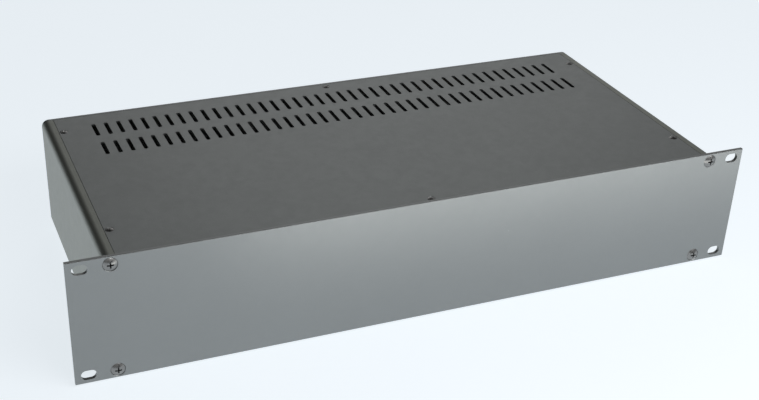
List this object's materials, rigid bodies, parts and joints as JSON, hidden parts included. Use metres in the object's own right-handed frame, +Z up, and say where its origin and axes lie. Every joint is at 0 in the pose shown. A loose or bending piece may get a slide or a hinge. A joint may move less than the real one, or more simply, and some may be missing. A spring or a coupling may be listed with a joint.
{
  "type": "rack-mounted power amplifier",
  "caption": "Two-channel rack power amplifier with a blank front panel, slotted covers, rear connectors, toroidal transformer and heatsinks inside.",
  "frame": {"origin": "centre of the four rack slots, on the back face of the front panel where it meets the rack rails", "axes": "+X to the right seen from the front, +Y from the front panel to the back, +Z up"},
  "size_m": [0.4826, 0.2293, 0.0899],
  "materials": {
    "panel_anodised": "satin",
    "cover_paint": "satin",
    "side_anodised": "satin",
    "rear_paint": "satin",
    "plated_steel": "satin",
    "screw_steel": "satin",
    "black_steel": "satin",
    "nickel": "polished",
    "foot_rubber": "matte",
    "board_laminate": "satin",
    "component_plastic": "satin",
    "capacitor_sleeve": "gloss",
    "sink_anodised": "matte",
    "device_epoxy": "matte",
    "insulator_pad": "matte",
    "winding_tape": "satin",
    "black_plastic": "matte",
    "red_plastic": "gloss",
    "fuse_glass": "gloss",
    "power_wire": "satin",
    "signal_wire": "satin"
  },
  "bodies": {
    "chassis": {"front_panel": "panel_anodised", "left_side_extrusion": "side_anodised", "right_side_extrusion": "side_anodised", "top_cover": "cover_paint", "bottom_cover": "cover_paint", "rear_panel": "rear_paint", "tie_bars": "side_anodised", "tie_bar_screws": "plated_steel", "panel_screws": "screw_steel", "cover_screws": "screw_steel", "floor_screws": "plated_steel", "rubber_feet": "foot_rubber", "supply_board": "board_laminate", "left_amplifier_board": "board_laminate", "right_amplifier_board": "board_laminate", "input_board": "board_laminate", "board_standoffs": "nickel", "inner_screws": "plated_steel", "reservoir_capacitors": "capacitor_sleeve", "bridge_rectifiers": "device_epoxy", "amplifier_components": "component_plastic", "left_heatsink": "sink_anodised", "right_heatsink": "sink_anodised", "heatsink_brackets": "plated_steel", "output_transistors": "device_epoxy", "transistor_pads": "insulator_pad", "transformer_winding": "winding_tape", "transformer_pads": "foot_rubber", "transformer_dish": "plated_steel", "transformer_bolt": "plated_steel", "mains_inlet": "black_plastic", "inlet_pins": "nickel", "rocker_switch_housing": "black_plastic", "xlr_shells": "nickel", "xlr_inserts": "black_plastic", "speaker_sockets": "black_plastic", "speaker_contacts": "nickel", "connector_screws": "black_steel", "connector_nuts": "nickel", "binding_post_bases": "black_plastic", "binding_post_studs": "nickel", "earth_stud": "plated_steel", "level_pots": "nickel", "ground_switch_frame": "plated_steel", "power_wiring": "power_wire", "signal_wiring": "signal_wire"},
    "rocker": {"power_rocker": "black_plastic"},
    "drawer": {"fuse_drawer": "black_plastic", "fuse": "fuse_glass"},
    "left_tab": {"left_latch_tab": "nickel"},
    "right_tab": {"right_latch_tab": "nickel"},
    "left_control": {"left_pot_shaft": "nickel", "left_level_knob": "black_plastic"},
    "right_control": {"right_pot_shaft": "nickel", "right_level_knob": "black_plastic"},
    "ground_lever": {"ground_switch_lever": "black_plastic"},
    "left_black_clamp": {"left_black_cap": "black_plastic"},
    "left_red_clamp": {"left_red_cap": "red_plastic"},
    "right_black_clamp": {"right_black_cap": "black_plastic"},
    "right_red_clamp": {"right_red_cap": "red_plastic"}
  },
  "joints": [
    {"name": "power_rocker_tilt", "type": "hinge", "parent": "chassis", "child": "rocker", "pos_m": [0.184, 0.203, 0], "axis": [1, 0, 0], "range_deg": [0, 24]},
    {"name": "fuse_drawer_slide", "type": "slide", "parent": "chassis", "child": "drawer", "axis": [0, 1, 0], "range_m": [0, 0.018]},
    {"name": "left_latch_press", "type": "slide", "parent": "chassis", "child": "left_tab", "axis": [0, -1, 0], "range_m": [0, 0.0015], "stiffness_N_per_m": 400},
    {"name": "right_latch_press", "type": "slide", "parent": "chassis", "child": "right_tab", "axis": [0, -1, 0], "range_m": [0, 0.0015], "stiffness_N_per_m": 400},
    {"name": "left_level_turn", "type": "hinge", "parent": "chassis", "child": "left_control", "pos_m": [-0.114, 0.21, 0], "axis": [0, -1, 0], "range_deg": [-150, 150]},
    {"name": "right_level_turn", "type": "hinge", "parent": "chassis", "child": "right_control", "pos_m": [-0.086, 0.21, 0], "axis": [0, -1, 0], "range_deg": [-150, 150]},
    {"name": "ground_lift_slide", "type": "slide", "parent": "chassis", "child": "ground_lever", "axis": [1, 0, 0], "range_m": [0, 0.0044]},
    {"name": "left_black_cap_slide", "type": "slide", "parent": "chassis", "child": "left_black_clamp", "axis": [0, 1, 0], "range_m": [0, 0.006]},
    {"name": "left_red_cap_slide", "type": "slide", "parent": "chassis", "child": "left_red_clamp", "axis": [0, 1, 0], "range_m": [0, 0.006]},
    {"name": "right_black_cap_slide", "type": "slide", "parent": "chassis", "child": "right_black_clamp", "axis": [0, 1, 0], "range_m": [0, 0.006]},
    {"name": "right_red_cap_slide", "type": "slide", "parent": "chassis", "child": "right_red_clamp", "axis": [0, 1, 0], "range_m": [0, 0.006]}
  ]
}
